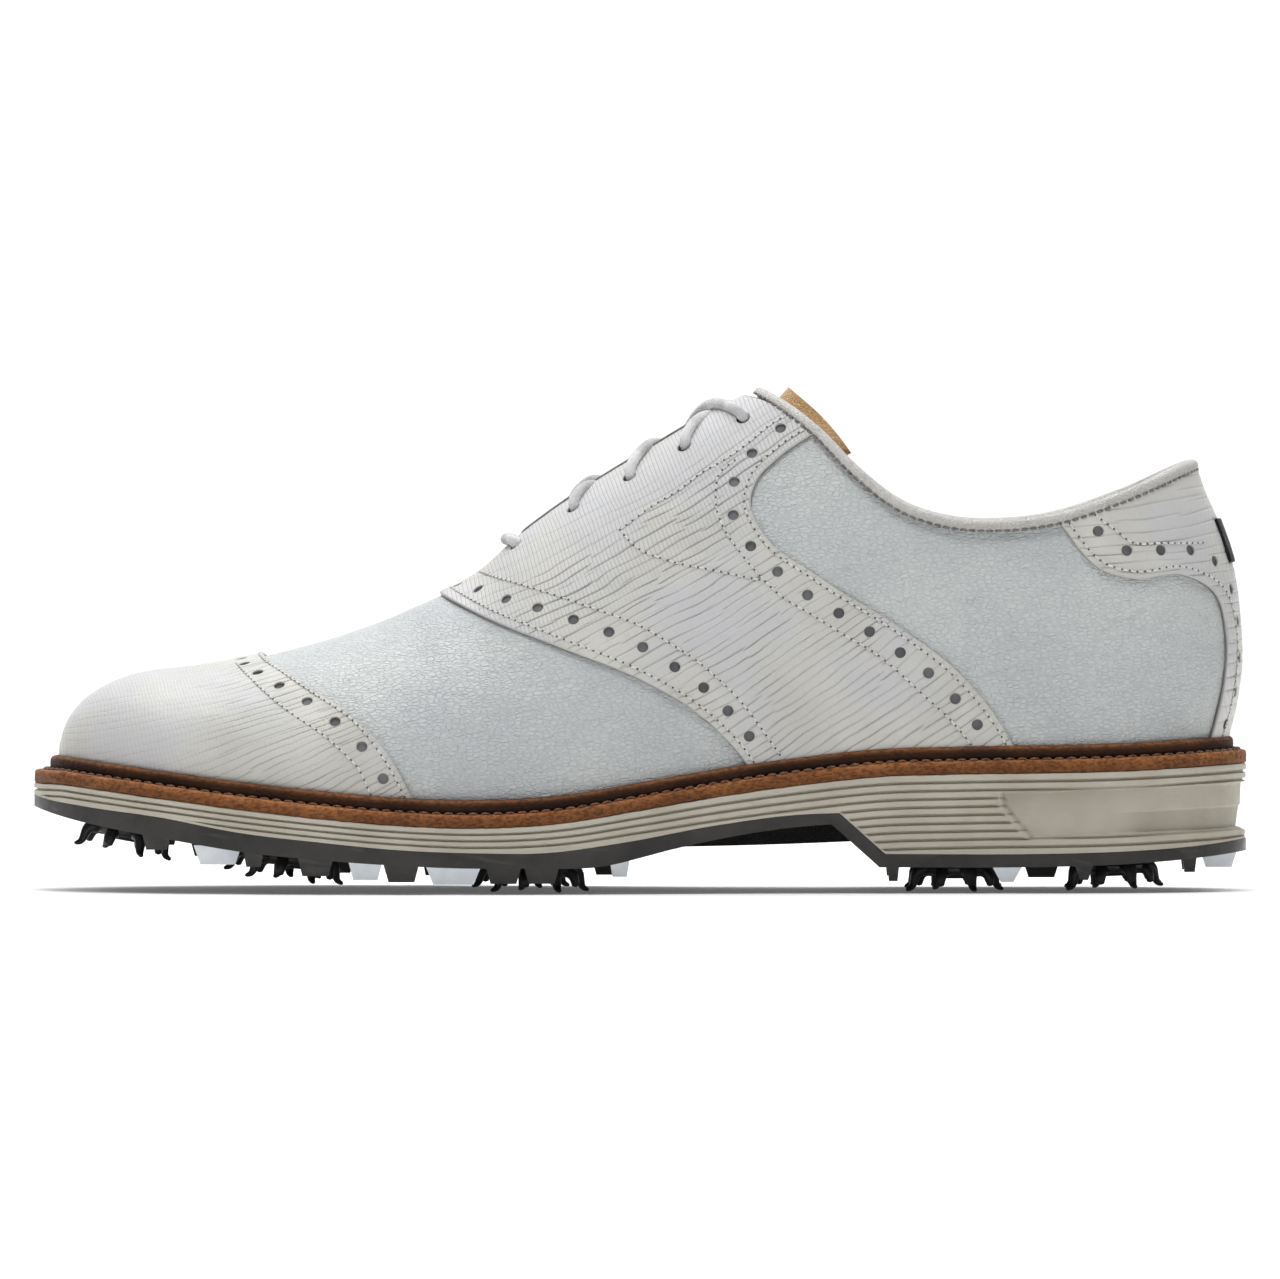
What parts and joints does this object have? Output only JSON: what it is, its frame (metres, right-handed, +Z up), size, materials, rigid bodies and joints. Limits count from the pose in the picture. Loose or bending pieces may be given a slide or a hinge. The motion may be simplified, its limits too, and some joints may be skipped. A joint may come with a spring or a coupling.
{
  "type": "golf shoe",
  "caption": "Left golf shoe: laced saddle-style leather upper with perforated overlays, stitched leather welts, ribbed midsole and dark outsole with twist-out spikes.",
  "frame": {"origin": "on the floor, under the middle of the sole", "axes": "+X from toe to heel, +Y from the outer side of the foot to the inner side, +Z up"},
  "size_m": [0.3048, 0.1084, 0.1263],
  "materials": {
    "leather_embossed": "ivory leather embossed with long wavy grooves",
    "leather_smooth": "cool white fine-grained leather",
    "leather_backing": "off-white leather",
    "leather_lining": "pale lining leather",
    "leather_tan": "tan lining leather",
    "leather_welt": "waxed tan welt leather",
    "leather_black": "black leather",
    "stiffener": "thermoplastic toe puff and counter",
    "foam": "open-cell foam",
    "lace": "woven white lace",
    "thread": "waxed thread",
    "board": "fibre board",
    "cork": "ground cork filler",
    "steel": "spring steel",
    "midsole": "cream ribbed midsole",
    "outsole": "dark grey satin rubber",
    "clear_rubber": "pale grey-blue rubber",
    "black_plastic": "black moulded plastic",
    "sock": "textile-covered foam"
  },
  "bodies": {
    "shoe": {"toe_cap": "leather_embossed", "saddle_outer": "leather_embossed", "saddle_inner": "leather_embossed", "heel_overlay": "leather_embossed", "vamp": "leather_smooth", "facing_backing_outer": "leather_backing", "facing_backing_inner": "leather_backing", "quarter_outer": "leather_smooth", "quarter_inner": "leather_smooth", "toe_puff": "stiffener", "heel_stiffener": "stiffener", "collar_foam": "foam", "interlining": "foam", "vamp_lining": "leather_lining", "quarter_lining": "leather_lining", "collar_binding": "leather_smooth", "heel_patch": "leather_black", "lace": "lace", "aglets": "black_plastic", "insole_board": "board", "sockliner": "sock", "storm_welt": "leather_welt", "welt_thread": "thread", "lower_welt": "leather_welt", "shank": "steel", "cork_filler": "cork", "midsole": "midsole", "outsole": "outsole", "clear_lugs": "clear_rubber", "arch_bridge": "black_plastic", "cleat_receptacles": "black_plastic"},
    "tongue": {"tongue_leather": "leather_smooth", "tongue_foam": "foam", "tongue_lining": "leather_tan", "tongue_binding": "leather_tan"},
    "spike_1": {"cleat_1": "black_plastic"},
    "spike_2": {"cleat_2": "black_plastic"},
    "spike_3": {"cleat_3": "black_plastic"},
    "spike_4": {"cleat_4": "black_plastic"},
    "spike_5": {"cleat_5": "black_plastic"},
    "spike_6": {"cleat_6": "black_plastic"},
    "spike_7": {"cleat_7": "black_plastic"},
    "spike_8": {"cleat_8": "black_plastic"},
    "spike_9": {"cleat_9": "black_plastic"}
  },
  "joints": [
    {"name": "tongue_fold", "type": "hinge", "parent": "shoe", "child": "tongue", "pos_m": [-0.044, 0, 0.068], "axis": [0, 1, 0], "range_deg": [0, 8], "stiffness_Nm_per_rad": 0.5, "springref_deg": -3.44},
    {"name": "spike_1_twist", "type": "hinge", "parent": "shoe", "child": "spike_1", "pos_m": [-0.129, 0.005, 0.01534], "axis": [0.1822, 0, 0.9833], "range_deg": [0, 60]},
    {"name": "spike_2_twist", "type": "hinge", "parent": "shoe", "child": "spike_2", "pos_m": [-0.086, -0.025, 0.00901], "axis": [0.0958, 0, 0.9954], "range_deg": [0, 60]},
    {"name": "spike_3_twist", "type": "hinge", "parent": "shoe", "child": "spike_3", "pos_m": [-0.092, 0.023, 0.00957], "axis": [0.108, 0, 0.9942], "range_deg": [0, 60]},
    {"name": "spike_4_twist", "type": "hinge", "parent": "shoe", "child": "spike_4", "pos_m": [-0.025, -0.027, 0.0064], "axis": [0, 0, 1], "range_deg": [0, 60]},
    {"name": "spike_5_twist", "type": "hinge", "parent": "shoe", "child": "spike_5", "pos_m": [-0.03, 0.022, 0.0064], "axis": [0, 0, 1], "range_deg": [0, 60]},
    {"name": "spike_6_twist", "type": "hinge", "parent": "shoe", "child": "spike_6", "pos_m": [0.079, -0.018, 0.0064], "axis": [0, 0, 1], "range_deg": [0, 60]},
    {"name": "spike_7_twist", "type": "hinge", "parent": "shoe", "child": "spike_7", "pos_m": [0.079, 0.018, 0.0064], "axis": [0, 0, 1], "range_deg": [0, 60]},
    {"name": "spike_8_twist", "type": "hinge", "parent": "shoe", "child": "spike_8", "pos_m": [0.119, -0.015, 0.00695], "axis": [-0.0384, 0, 0.9993], "range_deg": [0, 60]},
    {"name": "spike_9_twist", "type": "hinge", "parent": "shoe", "child": "spike_9", "pos_m": [0.119, 0.015, 0.00695], "axis": [-0.0384, 0, 0.9993], "range_deg": [0, 60]}
  ]
}
